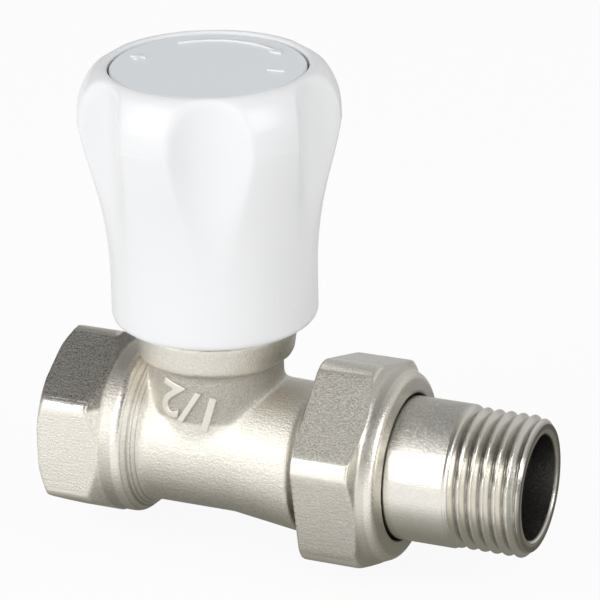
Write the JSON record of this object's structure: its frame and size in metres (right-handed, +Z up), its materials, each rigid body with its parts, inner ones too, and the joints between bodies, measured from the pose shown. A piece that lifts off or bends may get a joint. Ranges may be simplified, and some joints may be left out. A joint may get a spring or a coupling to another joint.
{
  "type": "straight radiator valve",
  "caption": "Manual straight radiator valve: nickel-plated body with female inlet, union nut and male tailpiece, closed by a rising stem under a fluted white handwheel.",
  "frame": {"origin": "on the pipe axis, where the full thread of the inlet begins", "axes": "+X along the pipe from the inlet to the outlet, +Z up along the stem to the handwheel"},
  "size_m": [0.0746, 0.038, 0.0749],
  "materials": {
    "nickel_body": "nickel plated, satin",
    "nickel_nut": "nickel plated, blasted",
    "nickel_tail": "nickel plated, turned",
    "brass": "turned",
    "steel": "zinc plated",
    "seal_rubber": "moulded",
    "packing": "pressed",
    "white_plastic": "moulded, glossy",
    "cap_plastic": "moulded, glossy"
  },
  "bodies": {
    "valve_body": {"valve_body": "nickel_body", "bonnet": "brass", "bonnet_seal": "seal_rubber", "stem_packing": "packing", "packing_washer": "brass", "gland_nut": "brass"},
    "valve_disc": {"disc_holder": "brass", "seat_washer": "seal_rubber", "washer_screw": "brass"},
    "handwheel": {"stem": "brass", "stem_o_ring_lower": "seal_rubber", "stem_o_ring_upper": "seal_rubber", "stem_clip": "steel", "handwheel": "white_plastic", "handwheel_cap": "cap_plastic", "handwheel_screw": "steel"},
    "tailpiece": {"tailpiece": "nickel_tail", "tail_o_ring": "seal_rubber"},
    "union_nut": {"union_nut": "nickel_nut"}
  },
  "joints": [
    {"name": "disc_lift", "type": "slide", "parent": "valve_body", "child": "valve_disc", "axis": [0, 0, 1], "range_m": [-0.00338, 0]},
    {"name": "handwheel_turn", "type": "hinge", "parent": "valve_disc", "child": "handwheel", "pos_m": [0.02305, 0, 0], "axis": [0, 0, 1], "range_deg": [-810, 0]},
    {"name": "tailpiece_slide", "type": "slide", "parent": "valve_body", "child": "tailpiece", "axis": [1, 0, 0], "range_m": [0, 0.00726]},
    {"name": "union_nut_turn", "type": "hinge", "parent": "tailpiece", "child": "union_nut", "pos_m": [0.02305, 0, 0], "axis": [1, 0, 0], "range_deg": [0, 1440]}
  ],
  "couplings": [
    {"joint": "disc_lift", "follows": "handwheel_turn", "m_per_rad": 0.00023873},
    {"joint": "tailpiece_slide", "follows": "union_nut_turn", "m_per_rad": 0.00028871}
  ]
}
